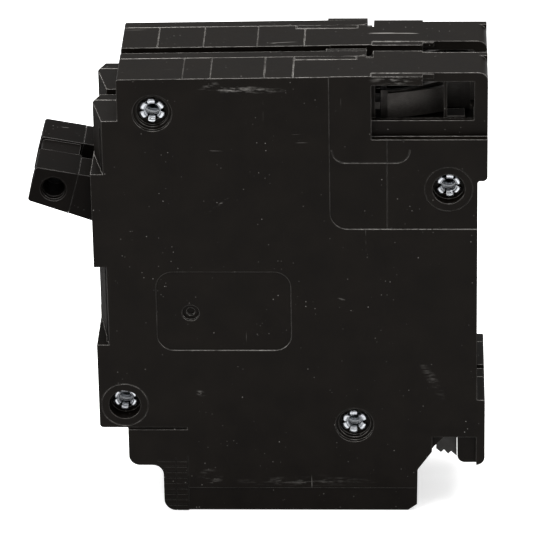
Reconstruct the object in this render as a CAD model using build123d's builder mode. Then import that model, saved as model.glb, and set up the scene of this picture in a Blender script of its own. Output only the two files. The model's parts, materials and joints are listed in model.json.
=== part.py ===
from build123d import *

import os
from math import atan2, cos, radians, sin

# Ground-fault circuit breaker: two half-inch plug-on poles riveted side by side, with tied handles.
#
# Frame: +Z points to the line end, +X to the rear (bus side), Y runs across the two poles.
# The origin is under the middle of the whole breaker, on the plane of its load end foot.
# Outlines are written as (depth, height): depth is measured forward from the rear face.

os.makedirs("parts", exist_ok=True)

# Driving dimensions, millimetres
HEIGHT = 79.9  # foot to line end
REAR_X = 37.545  # x of the rear face
FRONT = 64.5  # depth of the front face
SHOULDER = 59.8  # depth of the dead-front shoulder
MODULE_Y = {"a": -12.7, "b": 0.05}  # near face of each module
MODULE_WIDTH = 12.65
SEAM = 8.4  # base shell to cover joint, from the module's near face
COVER_FACE = 11.4  # outer face of the cover, away from its pads
FLOOR = 1.4  # side wall of the base shell
COVER_PLATE = 10.2  # inner face of the cover
COVER_BEVEL = 0.8  # bevel along the cover's outer top edge
COVER_END = 19.6  # depth where the cover's top ends, beside the line end block
BLOCK_FRONT = 18.6  # depth of the line end block's front wall
BLOCK_Y = {"front": 10.3, "rear": 9.7}  # far faces of that block, either side of BLOCK_STEP
BLOCK_STEP = 10.5
RECESS = 1.5  # set-back of the line window
GAP = 0.05  # running clearance

TOP_LINES = {  # depth and width of the fine lines across the top of each base shell
    "a": ((49.1, 0.03), (44.6, 0.04), (35.9, 0.10), (31.3, 0.08)),
    "b": ((53.8, 0.06), (46.3, 0.04), (37.5, 0.04), (29.8, 0.08)),
}
RIVETS = {"top": (54.1, 73.5), "rear": (6.3, 59.9), "front": (60.2, 20.2), "foot": (21.9, 16.4)}
RIVET_SEAT = {"top": 1.5, "rear": 2.0, "front": 2.6, "foot": 1.6}
RIVET_R = 1.7
BOSS_R = 3.2

HANDLE_PIVOT = (57.5, 55.0)
HANDLE_TILT = 15.1  # degrees towards the line end
DRUM_R = 6.9
LEVER_Y = (2.2, 9.6)
CAP_Y = {"a": (3.0, 10.4), "b": (2.25, 9.55)}
CAP_REACH = (10.5, 17.5)  # from the pivot, along the handle's axis
CAP_HALF = (3.65, 3.08)  # half heights at those two places
SKIRT_REACH = 5.6  # where the lever's skirt starts, inside the case
BRIDGE_INSET = 0.35  # set-back of the tie between its two caps
TIE_HOLE_R = 1.9
TIE_HOLE_REACH = 13.85
HOLE_BEVEL = 0.3

ARM_PIVOT = (46.0, 56.0)
CRADLE_PIVOT = (16.0, 46.0)
TRIP_AXIS = (41.5, 43.0)
PIN_R = 1.0
TRIP_R = 1.3
CONTACT = (25.5, 65.4)  # where the contacts meet

LUG_Z = (9.0, 17.4)
LUG_DEPTH = (51.4, 58.1)
LUG_Y = (2.1, 9.5)
WIRE_DEPTH = 54.4
WIRE_R = 2.1
SCREW_Z = 12.9
SCREW_R = 1.9
SOLENOID_Z = 32.5
CORE_Z = 9.4
CORE_R = 7.2
CORE_DEPTH = (41.5, 46.5)
CORE_WINDOW = (38.5, 1.6, 49.5, 17.2)
JAW_Z = (70.5, 75.3)
BUTTON_Z = (24.4, 30.4)
BUTTON_Y = (4.0, 8.8)

# Outlines: (depth, height, corner radius)
HOUSING = [
    (SHOULDER, 79.4, 0.4),
    (18.8, HEIGHT, 0),
    (0, HEIGHT, 1.5),
    (0, 61.3, 0.8),
    (1.6, 61.3, 0.4),
    (1.6, 21.1, 0.2),
    (0.2, 21.1, 0.3),
    (0.2, 8.8, 1.5),
    (4.75, 8.8, 1.3),
    (4.75, 14.1, 0.3),
    (6.4, 14.1, 0.6),
    (8.6, 11.9, 0),
    (11.4, 7.9, 0.5),
    (11.5, 1.1, 0.3),
    (13.0, 0, 0.3),
    (54.1, 0, 2.0),
    (54.1, 8.7, 1.8),
    (SHOULDER, 8.7, 1.8),
    (SHOULDER, 15.9, 0.4),
    (FRONT, 15.9, 0.6),
    (FRONT, 72.1, 0.5),
    (SHOULDER, 72.1, 0),
]
COVER_TOP = [(SHOULDER, 79.4, 0.4), (COVER_END, 79.85, 0.2), (COVER_END, 68.5, 0.3), (0, 68.5, 0.3)]
COVER = COVER_TOP + HOUSING[3:]
CAVITY = [
    (58.2, 77.8, 1.0),
    (20.4, 78.2, 0.5),
    (20.4, 68.6, 0.5),
    (3.2, 68.6, 0.5),
    (3.2, 15.7, 0.5),
    (7.2, 15.7, 0.5),
    (13.0, 8.6, 0.5),
    (13.1, 1.6, 0.5),
    (51.2, 1.6, 0.5),
    (51.2, 10.3, 0),
    (58.2, 10.3, 0),
    (58.2, 17.5, 0.3),
    (62.9, 17.5, 0.5),
    (62.9, 70.5, 0.5),
    (58.2, 70.5, 0.3),
]


def spot(depth, height):
    """A (depth, height) pair as (x, z) in the part frame."""
    return (REAR_X - depth, height)


def side_plane(y):
    """Plane across the poles at y: local x is X and local y is Z; extrusion runs towards -Y."""
    return Plane.XZ.offset(-y)


def prism(outline, y_low, y_high, mode=Mode.ADD):
    """Extrude a (depth, height, radius) outline from y_low to y_high."""
    with BuildSketch(side_plane(y_high)) as profile:
        with BuildLine():
            corners = [spot(depth, height) for depth, height, _ in outline]
            FilletPolyline(*corners, radius=[radius for _, _, radius in outline], close=True)
        make_face()
    extrude(profile.sketch, amount=y_high - y_low, mode=mode)


def block(depths, heights, y_low, y_high, mode=Mode.ADD, radius=0.0):
    """Box between two depths, two heights and two y values, with rounded side corners."""
    (near, far), (low, high) = depths, heights
    corners = [(near, low), (near, high), (far, high), (far, low)]
    prism([(depth, height, radius) for depth, height in corners], y_low, y_high, mode)


def post(place, radius, y_low, y_high, mode=Mode.ADD):
    """Round post or hole across the poles at a (depth, height) place."""
    with BuildSketch(side_plane(y_high)) as profile:
        with Locations(spot(*place)):
            Circle(radius)
    extrude(profile.sketch, amount=y_high - y_low, mode=mode)


def upright(place, radius, z_low, z_high, mode=Mode.ADD):
    """Round post or hole along Z at an (x, y) place."""
    with BuildSketch(Plane.XY.offset(z_low)) as profile:
        with Locations(place):
            Circle(radius)
    extrude(profile.sketch, amount=z_high - z_low, mode=mode)


def lengthwise(place, radius, depth_low, depth_high, mode=Mode.ADD):
    """Round post or hole along X at a (y, z) place."""
    with BuildSketch(Plane.YZ.offset(REAR_X - depth_high)) as profile:
        with Locations(place):
            Circle(radius)
    extrude(profile.sketch, amount=depth_high - depth_low, mode=mode)


def plan(points, z_low, z_high, mode=Mode.ADD):
    """Extrude an outline of (depth, y) points from z_low to z_high."""
    with BuildSketch(Plane.XY.offset(z_low)) as profile:
        with BuildLine():
            Polyline(*[(REAR_X - depth, y) for depth, y in points], close=True)
        make_face()
    extrude(profile.sketch, amount=z_high - z_low, mode=mode)


def crosswise(points, depth_low, depth_high, mode=Mode.ADD):
    """Extrude an outline of (y, z) points along X between two depths."""
    with BuildSketch(Plane.YZ.offset(REAR_X - depth_high)) as profile:
        with BuildLine():
            Polyline(*points, close=True)
        make_face()
    extrude(profile.sketch, amount=depth_high - depth_low, mode=mode)


def top_height(depth):
    """Height of the sloping top face at a depth."""
    return HEIGHT - 0.5 * (depth - 18.8) / (SHOULDER - 18.8)


def swing(place, origin, angle):
    """Turn a (depth, height) place about an origin, towards the line end."""
    turn = radians(angle)
    reach, rise = place[0] - origin[0], place[1] - origin[1]
    depth = origin[0] + reach * cos(turn) - rise * sin(turn)
    return (depth, origin[1] + reach * sin(turn) + rise * cos(turn))


def save(part, name):
    """Label a finished piece and write its file."""
    part.label = name
    export_step(part, f"parts/{name}.step")


def front_cuts(y):
    """Openings and tapers of the front face, cut alike in base shell and cover."""
    block((FRONT - 2.6, FRONT + 1), (46.4, 62.4), y + 2.0, y + 9.8, Mode.SUBTRACT)
    plan([(62.4, y - 1), (66, y - 1), (66, y + SEAM), (FRONT, y + SEAM), (62.4, y)], 62.6, 73, Mode.SUBTRACT)
    plan([(62.4, y - 1), (66, y - 1), (66, y + 11), (FRONT, y + 11), (62.4, y)], 31.4, 45.8, Mode.SUBTRACT)
    wedge = [(66, y + 7.0), (66, y + 14), (62.9, y + 14), (62.9, y + COVER_FACE), (FRONT, y + 7.4)]
    plan(wedge, 62.6, 73, Mode.SUBTRACT)


def terminal_cuts(y):
    """Wire channel below the lug and screwdriver hole in front of it."""
    centre = y + sum(LUG_Y) / 2
    upright((REAR_X - WIRE_DEPTH, centre), WIRE_R + 0.4, -1, LUG_Z[0] + 1.5, Mode.SUBTRACT)
    lengthwise((centre, SCREW_Z), SCREW_R + 0.4, 57, SHOULDER + 1, Mode.SUBTRACT)
    near, far = y + LUG_Y[0] - 0.1, y + LUG_Y[1] + 0.1
    block((LUG_DEPTH[0] - 0.9, 58.2), (LUG_Z[0] - 0.1, 17.6), near, far, Mode.SUBTRACT)


def trip_bar_hole(y_low, y_high):
    """Clearance for the trip bar where it crosses the walls between the modules."""
    post(TRIP_AXIS, TRIP_R + GAP, y_low, y_high, Mode.SUBTRACT)


def near_face_details(y):
    """Shallow steps, lines and ribs moulded in the side face of a base shell."""
    block((32.2, 54.4), (30.4, 44.9), y, y + 0.15, Mode.SUBTRACT, radius=2.8)
    step = [(-1, 52.7, 0), (25.6, 52.7, 2.9), (25.6, 81, 0), (-1, 81, 0)]
    prism(step, y, y + 0.12, Mode.SUBTRACT)
    block((16.25, 16.33), (52.7, 68.7), y, y + 0.2, Mode.SUBTRACT)
    rim = [(12.6, 66.9, 0), (12.6, 64.6, 2.2), (25.2, 64.6, 2.2), (25.2, 66.9, 0)]
    with BuildSketch(side_plane(y + 0.24)) as groove:
        with BuildLine() as path:
            FilletPolyline(*[spot(d, z) for d, z, _ in rim], radius=[rim[1][2], rim[2][2]])
        trace(path.line, line_width=0.14)
    extrude(groove.sketch, amount=0.24, mode=Mode.SUBTRACT)
    block((11.0, 49.9), (-1, 4.35), y, y + 0.25, Mode.SUBTRACT)
    crosswise([(y - 1, 15.9), (y + 0.45, 15.9), (y, 15.4), (y - 1, 15.4)], 49.85, 61, Mode.SUBTRACT)
    block((49.9, 50.05), (-1, 10.4), y, y + 0.1, Mode.SUBTRACT)
    block((51.9, 52.05), (-1, 10.1), y, y + 0.1, Mode.SUBTRACT)
    for rib in range(9):
        low = 0.9 + rib * 1.05
        block((50.1, 55), (low, low + 0.3), y, y + 0.05, Mode.SUBTRACT)
    post((48.8, 37.3), 1.45, y, y + 0.7, Mode.SUBTRACT)
    post((48.8, 37.3), 0.7, y, y + 1.1, Mode.SUBTRACT)


def rivet_holes(y, seats):
    """Clearance holes, counterbores and thin rings around the rivets."""
    for name, place in RIVETS.items():
        post(place, RIVET_R + 0.1, y - 1, y + MODULE_WIDTH + 1, Mode.SUBTRACT)
        if seats:
            wide = name in ("top", "foot")
            post(place, 2.65, y - 1, y + RIVET_SEAT[name], Mode.SUBTRACT)
            if wide:
                post(place, 3.2, y - 1, y + 0.7, Mode.SUBTRACT)
            else:
                with BuildSketch(side_plane(y + 0.15)) as ring:
                    with Locations(spot(*place)):
                        Circle(3.96)
                        Circle(3.86, mode=Mode.SUBTRACT)
                extrude(ring.sketch, amount=0.15, mode=Mode.SUBTRACT)


def line_window(y):
    """Line end corner of the base shell: window, bar, and the jaw chamber, open at its far side."""
    block((0, BLOCK_STEP), (68.6, HEIGHT), y + SEAM, y + BLOCK_Y["rear"])
    block((BLOCK_STEP, BLOCK_FRONT), (68.6, HEIGHT), y + SEAM, y + BLOCK_Y["front"])
    block((0, BLOCK_FRONT), (68.6, 70.2), y + SEAM, y + MODULE_WIDTH)
    block((-1, 18.8), (68.7, HEIGHT + 1), y - 1, y + RECESS, Mode.SUBTRACT)
    block((2.2, 18.8), (71.5, 78.35), y, y + 2.6, Mode.SUBTRACT)
    block((BLOCK_STEP, 18.8), (78.3, HEIGHT - 0.1), y, y + RECESS)
    block((8.7, BLOCK_STEP), (79.0, HEIGHT - 0.1), y + RECESS - 0.4, y + RECESS)
    block((2.2, 18.2), (70.2, 78.35), y + 2.5, y + 14, Mode.SUBTRACT)
    block((18, 21), (72.0, 73.9), y + 3.4, y + 8.5, Mode.SUBTRACT)
    block((6.6, 7.1), (70.2, 78.35), y + 2.5, y + 5.2)
    block((3.7, 6.6), (70.2, 71.6), y + 3.0, y + 6.0)


def base_shell(side):
    """Deep half of a pole module, with bosses and bearings inside."""
    y = MODULE_Y[side]
    with BuildPart() as shell:
        prism(HOUSING, y, y + SEAM)
        prism(CAVITY, y + FLOOR, y + SEAM, Mode.SUBTRACT)
        for place in RIVETS.values():
            post(place, BOSS_R, y + FLOOR - 0.1, y + SEAM)
        post(HANDLE_PIVOT, 3.0, y + FLOOR - 0.1, y + 2.0)
        for pivot in (ARM_PIVOT, CRADLE_PIVOT):
            post(pivot, PIN_R + 1.1, y + FLOOR - 0.1, y + 2.3)
        line_window(y)
        near_face_details(y)
        block((31.35, 21.2), (78.1, HEIGHT + 1), y + 7.05, y + SEAM + 1, Mode.SUBTRACT)
        block((BLOCK_FRONT, COVER_END), (76.0, 81), y + 7.6, y + 14, Mode.SUBTRACT)
        plan([(22.0, y + 6), (18.8, y + 6), (18.8, y + 8.3), (20.1, y + 8.3), (21.2, y + 7.05)], 78.2, 79.85)
        front_cuts(y)
        terminal_cuts(y)
        rivet_holes(y, seats=True)
        post(HANDLE_PIVOT, 1.5 + GAP, y + 0.6, y + 3, Mode.SUBTRACT)
        for pivot in (ARM_PIVOT, CRADLE_PIVOT):
            post(pivot, PIN_R, y + 0.8, y + 3, Mode.SUBTRACT)
        block((1.6, 9.0), (8.0, 14.1), y - 1, y + 1.0, Mode.SUBTRACT)
        if side == "a":
            trip_bar_hole(y + 0.7, y + 3)
        else:
            trip_bar_hole(y - 1, y + 3)
            block(CORE_WINDOW[0::2], CORE_WINDOW[1::2], y - 1, y + FLOOR + 1, Mode.SUBTRACT)
            block((FRONT - 2, FRONT + 1), (24.3, 30.5), y + 3.9, y + SEAM + 1, Mode.SUBTRACT)
            block((56.4, 57.4), (23.0, 31.5), y + FLOOR - 0.1, y + 8.2)
            lengthwise((y + 6.4, 27.4), 1.3, 56, 58, Mode.SUBTRACT)
        for line, width in TOP_LINES[side]:
            block((line, line + width), (top_height(line) - 0.12, 81), y - 1, y + SEAM, Mode.SUBTRACT)
    save(shell.part, f"base_shell_{side}")


def cover_bevels(y):
    """Bevels along the outer edge of the cover's sloping top, and of the nose below it."""
    slope = atan2(0.5, SHOULDER - 18.8)
    start = (REAR_X - 18.8, 0, HEIGHT - 0.02)
    along = Plane(origin=start, x_dir=(0, 1, 0), z_dir=(-cos(slope), 0, -sin(slope)))
    edge = y + COVER_FACE - COVER_BEVEL
    with BuildSketch(along) as profile:
        with BuildLine():
            Polyline((edge, 0), (edge + 2, 2), (edge + 4, 2), (edge + 4, -2), (edge, -2), close=True)
        make_face()
    extrude(profile.sketch, amount=42, mode=Mode.SUBTRACT)
    nose = [(edge, 72.1), (edge + 1, 71.1), (edge + 4, 71.1), (edge + 4, 73), (edge, 73)]
    crosswise(nose, SHOULDER, 66, Mode.SUBTRACT)


def cover(side):
    """Shallow half of a pole module, with pads that bear on the next module."""
    y = MODULE_Y[side]
    with BuildPart() as shell:
        prism(COVER, y + SEAM, y + COVER_FACE)
        block((21.3, 31.25), (78.2, 79.8), y + 7.15, y + SEAM)
        corner = [(19.0, y + 8), (20.4, y + 8), (20.4, y + SEAM), (COVER_END, y + 9.3), (19.0, y + 9.3)]
        plan(corner, 78.1, 81, Mode.SUBTRACT)
        cover_bevels(y)
        prism(CAVITY, y + SEAM, y + COVER_PLATE, Mode.SUBTRACT)
        for place in RIVETS.values():
            post(place, BOSS_R, y + SEAM, y + COVER_PLATE + 0.1)
            post(place, 3.9 if place != RIVETS["front"] else 3.7, y + COVER_FACE - 0.1, y + MODULE_WIDTH)
        block((COVER_END, 26.2), (46, 79.6), y + COVER_FACE - 0.8, y + MODULE_WIDTH)
        pad_bevel = [(y + MODULE_WIDTH - 0.8, 79.6), (y + MODULE_WIDTH, 78.8), (y + 14, 78.8), (y + 14, 81)]
        crosswise(pad_bevel, COVER_END - 1, 26.3, Mode.SUBTRACT)
        post(HANDLE_PIVOT, 3.0, y + 9.8, y + COVER_PLATE + 0.1)
        for pivot in (ARM_PIVOT, CRADLE_PIVOT):
            post(pivot, PIN_R + 1.1, y + 9.3, y + COVER_PLATE + 0.1)
        front_cuts(y)
        terminal_cuts(y)
        rivet_holes(y, seats=False)
        post(HANDLE_PIVOT, 1.5 + GAP, y + 9, y + 11.0, Mode.SUBTRACT)
        for pivot in (ARM_PIVOT, CRADLE_PIVOT):
            post(pivot, PIN_R, y + 9, y + 10.9, Mode.SUBTRACT)
        if side == "a":
            trip_bar_hole(y + 9, y + 14)
            block(CORE_WINDOW[0::2], CORE_WINDOW[1::2], y + 9, y + 14, Mode.SUBTRACT)
        else:
            trip_bar_hole(y + 9, y + 11.0)
            for place in RIVETS.values():
                post(place, 2.65, y + MODULE_WIDTH - 1.6, y + 14, Mode.SUBTRACT)
            block((FRONT - 2, FRONT + 1), (24.3, 30.5), y + SEAM - 1, y + 8.9, Mode.SUBTRACT)
    save(shell.part, f"cover_{side}")


def case_rivets():
    """Four tubular rivets with six petals at the near end and a domed head at the far end."""
    with BuildPart() as rivets:
        for name, place in RIVETS.items():
            seat = MODULE_Y["a"] + RIVET_SEAT[name]
            head = MODULE_Y["b"] + MODULE_WIDTH - 1.6
            post(place, RIVET_R, seat - 0.4, head)
            post(place, 2.4, head, head + 0.8)
            post(place, 2.2, seat - 0.6, seat)
            post(place, 0.85, seat - 1, head - 2, Mode.SUBTRACT)
            with BuildSketch(side_plane(seat - 0.25)) as gaps:
                with Locations(spot(*place)):
                    with PolarLocations(2.05, 6):
                        Circle(0.42)
            extrude(gaps.sketch, amount=0.6, mode=Mode.SUBTRACT)
    save(rivets.part, "case_rivets")


def along_handle(corners):
    """Turn (reach, rise, radius) corners, from the pivot along the handle, into an outline."""
    outline = []
    for reach, rise, radius in corners:
        place = (HANDLE_PIVOT[0] + reach, HANDLE_PIVOT[1] + rise)
        outline.append((*swing(place, HANDLE_PIVOT, HANDLE_TILT), radius))
    return outline


def cap_outline(inset=0.0):
    """Tapered section of a handle cap, or of the set-back bridge between the caps."""
    inner, outer = CAP_REACH[0] + inset, CAP_REACH[1] - inset
    half_in, half_out = CAP_HALF[0] - inset, CAP_HALF[1] - inset
    sharp, soft = 0.06, 0.5
    inner_end = [(inner, -half_in, sharp), (inner, half_in, sharp)]
    return along_handle(inner_end + [(outer, half_out, soft), (outer, -half_out, soft)])


def tie_hole():
    """Place of the cross hole in the tied handles."""
    return swing((HANDLE_PIVOT[0] + TIE_HOLE_REACH, HANDLE_PIVOT[1]), HANDLE_PIVOT, HANDLE_TILT)


def stem_outline(half, end):
    """Section of the lever's stem, inside the cap."""
    start = CAP_REACH[0] - 0.5
    return along_handle([(start, -half, 0), (start, half, 0), (end, half, 0), (end, -half, 0)])


def skirt_outline():
    """Section of the lever between the case and the cap, as tall as the cap."""
    taper = (CAP_HALF[0] - CAP_HALF[1]) / (CAP_REACH[1] - CAP_REACH[0])
    inner, outer = SKIRT_REACH, CAP_REACH[0] - 0.03
    half_in = CAP_HALF[0] + taper * (outer - inner)
    half_out = CAP_HALF[0] - 0.02
    inner_end = [(inner, -half_in, 0), (inner, half_in, 0)]
    return along_handle(inner_end + [(outer, half_out, 0), (outer, -half_out, 0)])


def handle_tie():
    """One moulding with a cap over each lever and a set-back bridge between them."""
    caps = [(MODULE_Y[side] + near, MODULE_Y[side] + far) for side, (near, far) in CAP_Y.items()]
    with BuildPart() as tie:
        for near, far in caps:
            prism(cap_outline(), near, far)
        prism(cap_outline(BRIDGE_INSET), caps[0][1] - 0.1, caps[1][0] + 0.1)
        notch = swing((HANDLE_PIVOT[0] + CAP_REACH[0], HANDLE_PIVOT[1] + 0.6), HANDLE_PIVOT, HANDLE_TILT)
        post(notch, 1.2, caps[0][1], caps[1][0], Mode.SUBTRACT)
        for near, far in caps:
            prism(stem_outline(2.35, CAP_REACH[1] - 1.2), near + 1.2, far - 1.2, Mode.SUBTRACT)
        post(tie_hole(), TIE_HOLE_R, -14, 14, Mode.SUBTRACT)
        for face_y, way in ((caps[0][0], -1), (caps[1][1], 1)):
            with BuildSketch(side_plane(face_y - way * HOLE_BEVEL)) as rim:
                with Locations(spot(*tie_hole())):
                    Circle(TIE_HOLE_R)
            extrude(rim.sketch, amount=-way * (HOLE_BEVEL + 0.05), taper=-45, mode=Mode.SUBTRACT)
    save(tie.part, "handle_tie")


def handle_lever(side):
    """Lever with its arc-shield drum, trunnions, skirt, stem and inner leg."""
    y = MODULE_Y[side]
    near, far = y + CAP_Y[side][0], y + CAP_Y[side][1]
    with BuildPart() as lever:
        post(HANDLE_PIVOT, DRUM_R, y + LEVER_Y[0], y + LEVER_Y[1])
        rear_cut = [(48, 45, 0), (48, 66, 0), (54.5, 66, 0), (54.5, 45, 0)]
        prism(rear_cut, y + 2, y + 10, Mode.SUBTRACT)
        prism(skirt_outline(), near + 0.05, min(far - 0.05, y + LEVER_Y[1]))
        prism(stem_outline(2.3, CAP_REACH[1] - 1.3), near + 1.3, far - 1.3)
        leg = [(55.5, 52.0, 0), (55.5, 55.0, 0), (51.6, 54.6, 0.5), (51.6, 53.0, 0.5)]
        prism(leg, y + 7.3, y + 9.3)
        post(HANDLE_PIVOT, 1.5, y + 0.7, y + 10.9)
        post(tie_hole(), TIE_HOLE_R, y, y + 13, Mode.SUBTRACT)
    save(lever.part, f"handle_lever_{side}")


def leaf(points, thickness, heights):
    """Springy strip: a curve through (depth, y) points, thickened across and extruded up."""
    with BuildSketch(Plane.XY.offset(heights[0])) as strip:
        with BuildLine():
            front = [(REAR_X - depth, y) for depth, y in points]
            back = [(x, y + thickness) for x, y in front]
            Spline(*front)
            Spline(*back)
            Line(front[0], back[0])
            Line(front[-1], back[-1])
        make_face()
    extrude(strip.sketch, amount=heights[1] - heights[0])


def line_jaw(side):
    """Copper jaw: two leaves that grip a bus stab, joined by a web at the front."""
    y = MODULE_Y[side]
    with BuildPart() as jaw:
        leaf([(17.0, y + 5.0), (11.0, y + 6.6), (6.0, y + 9.0), (2.8, y + 8.2)], 0.8, JAW_Z)
        leaf([(17.0, y + 9.6), (11.0, y + 10.6), (6.0, y + 11.2), (1.2, y + 11.9)], 0.7, JAW_Z)
        plan([(16.4, y + 5.0), (17.3, y + 5.0), (17.3, y + 10.3), (16.4, y + 10.3)], *JAW_Z)
    save(jaw.part, f"line_jaw_{side}")


def jaw_springs():
    """Steel strips that back the near leaf of each jaw."""
    with BuildPart() as springs:
        for y in MODULE_Y.values():
            heights = (JAW_Z[0] + 0.2, JAW_Z[1] - 0.2)
            leaf([(16.2, y + 4.1), (11.0, y + 5.4), (6.9, y + 7.0)], 0.5, heights)
    save(springs.part, "jaw_springs")


def line_strap(side):
    """Copper strap from the jaw, down to the seat of the fixed contact."""
    y = MODULE_Y[side]
    low, high = 66.6, 67.8
    with BuildPart() as strap:
        bend = [
            (17.4, 72.4, 0),
            (17.4, 73.6, 0),
            (22.6, 73.6, 1.4),
            (22.6, high, 0.3),
            (29.0, high, 0),
            (29.0, low, 0),
            (21.4, low, 1.4),
            (21.4, 72.4, 0.3),
        ]
        prism(bend, y + 4.0, y + 7.6)
    save(strap.part, f"line_strap_{side}")


def fixed_contact(side):
    """Silver contact riveted under the line strap."""
    y = MODULE_Y[side] + 5.9
    with BuildPart() as contact:
        upright((REAR_X - CONTACT[0], y), 1.6, CONTACT[1], 66.6)
    save(contact.part, f"fixed_contact_{side}")


def moving_contact(side):
    """Silver contact on the end of the contact arm."""
    y = MODULE_Y[side] + 5.9
    with BuildPart() as contact:
        upright((REAR_X - CONTACT[0], y), 1.6, CONTACT[1] - 1.2, CONTACT[1] - GAP)
    save(contact.part, f"moving_contact_{side}")


def contact_arm(side):
    """Copper arm that swings on its pin and carries the moving contact."""
    y = MODULE_Y[side]
    with BuildPart() as arm:
        outline = [
            (49.6, 56.9, 0.4),
            (46.0, 58.4, 1.0),
            (40.0, 58.2, 1.0),
            (29.0, 64.2, 0.5),
            (23.6, 64.2, 0.3),
            (23.6, 62.0, 0.3),
            (28.6, 62.0, 0.8),
            (40.5, 54.6, 1.0),
            (46.0, 53.6, 1.5),
            (49.6, 55.4, 0.4),
        ]
        prism(outline, y + 4.8, y + 7.0)
        post(ARM_PIVOT, PIN_R + GAP, y + 4, y + 8, Mode.SUBTRACT)
    save(arm.part, f"contact_arm_{side}")


def arm_spring(side):
    """Toggle spring between the arm and the cradle, as a hollow cylinder of its outer size."""
    y = MODULE_Y[side]
    with BuildPart() as spring:
        with BuildSketch(Plane(origin=(REAR_X - 27.0, y + 8.4, 47.0), z_dir=(0, 0, 1))):
            Circle(1.3)
            Circle(0.8, mode=Mode.SUBTRACT)
        extrude(amount=12.5)
    save(spring.part, f"arm_spring_{side}")


def cradle(side):
    """Trip lever that turns on its pin and is held by the trip bar."""
    y = MODULE_Y[side]
    with BuildPart() as lever:
        outline = [
            (13.6, 44.0, 1.0),
            (13.6, 48.4, 1.0),
            (18.0, 49.0, 1.0),
            (28.0, 48.4, 1.0),
            (38.0, 45.4, 0.3),
            (38.0, 43.8, 0.3),
            (28.0, 45.4, 1.0),
            (18.5, 43.6, 1.0),
        ]
        prism(outline, y + 3.0, y + 4.4)
        post(CRADLE_PIVOT, PIN_R + GAP, y + 2, y + 6, Mode.SUBTRACT)
    save(lever.part, f"cradle_{side}")


def pivot_pins():
    """Four equal steel pins, held in the base shells and the covers."""
    with BuildPart() as pins:
        for y in MODULE_Y.values():
            for place in (ARM_PIVOT, CRADLE_PIVOT):
                post(place, PIN_R, y + 0.8, y + 10.9)
    save(pins.part, "pivot_pins")


def arc_chute(side):
    """Fibre frame and the five notched steel plates it holds."""
    y = MODULE_Y[side]
    with BuildPart() as frame:
        block((12.0, 21.6), (52.0, 64.8), y + 1.9, y + 9.9)
        block((12.7, 22.0), (51.0, 66.0), y + 2.5, y + 9.3, Mode.SUBTRACT)
    save(frame.part, f"arc_chute_frame_{side}")
    with BuildPart() as plates:
        for level in range(5):
            low = 53.2 + 2.4 * level
            block((12.8, 21.4), (low, low + 0.8), y + 2.55, y + 9.25)
            notch = [(22, y + 4.2), (17, y + 5.9), (22, y + 7.6)]
            plan(notch, low - 0.1, low + 0.9, Mode.SUBTRACT)
    save(plates.part, f"arc_chute_plates_{side}")


def thermal_unit(side):
    """Bimetal, the magnet yoke round it, and the strap under them."""
    y = MODULE_Y[side]
    with BuildPart() as strip:
        outline = [
            (34.6, 11.4, 0),
            (34.6, 37.8, 0.3),
            (38.9, 38.4, 0.2),
            (38.9, 37.6, 0.2),
            (35.5, 37.0, 0.2),
            (35.5, 11.4, 0),
        ]
        prism(outline, y + 4.0, y + 7.6)
    save(strip.part, f"bimetal_{side}")
    with BuildPart() as yoke:
        block((32.6, 37.2), (22.0, 32.0), y + 2.4, y + 9.2)
        block((33.8, 38.0), (21.0, 33.0), y + 3.6, y + 8.0, Mode.SUBTRACT)
    save(yoke.part, f"magnet_yoke_{side}")


def armature(side):
    """Steel plate hung from the trip bar in front of the magnet."""
    y = MODULE_Y[side]
    with BuildPart() as plate:
        block((40.6, 41.4), (24.0, 41.4), y + 2.8, y + 7.4)
    save(plate.part, f"armature_{side}")


def trip_bar():
    """Moulded bar across both poles, with a latch tab and an armature holder in each."""
    with BuildPart() as bar:
        post(TRIP_AXIS, TRIP_R, MODULE_Y["a"] + 0.8, MODULE_Y["b"] + 10.9)
        for y in MODULE_Y.values():
            tab = [(38.06, 44.0, 0), (38.06, 45.6, 0.2), (42.0, 45.6, 0.2), (42.6, 43.0, 0.2)]
            tab.append((41.0, 43.0, 0))
            prism(tab, y + 2.9, y + 4.5)
            block((39.9, 42.3), (38.6, 43.0), y + 2.4, y + 7.8)
        for y in MODULE_Y.values():
            block((40.6, 41.4), (30, 41.4), y + 2.8, y + 7.4, Mode.SUBTRACT)
    save(bar.part, "trip_bar")


def load_path(side):
    """Insulated lead from the bimetal through the sensing core, and the lug's strap."""
    y = MODULE_Y[side]
    lead_y = y + 8.6 if side == "a" else y + 4.2
    core_y = -1.9 if side == "a" else 1.9
    with BuildPart() as foot:
        block((34.6, 37.0), (1.6, 11.4), y + 3.6, y + 9.4)
    save(foot.part, f"bimetal_foot_{side}")
    with BuildPart() as lead:
        with BuildLine() as route:
            points = [(37.0, lead_y), (39.2, lead_y), (41.4, core_y)]
            points += [(46.6, core_y), (48.6, lead_y), (50.6, lead_y)]
            FilletPolyline(*[(REAR_X - d, across, CORE_Z) for d, across in points], radius=0.9)
        with BuildSketch(Plane(origin=(REAR_X - 37.0, lead_y, CORE_Z), z_dir=(-1, 0, 0))):
            Circle(0.8)
        sweep(path=route.line)
    save(lead.part, f"load_lead_{side}")
    with BuildPart() as strap:
        block((50.6, LUG_DEPTH[0]), (9.0, 17.0), y + 2.4, y + 9.4)
    save(strap.part, f"load_strap_{side}")


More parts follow.
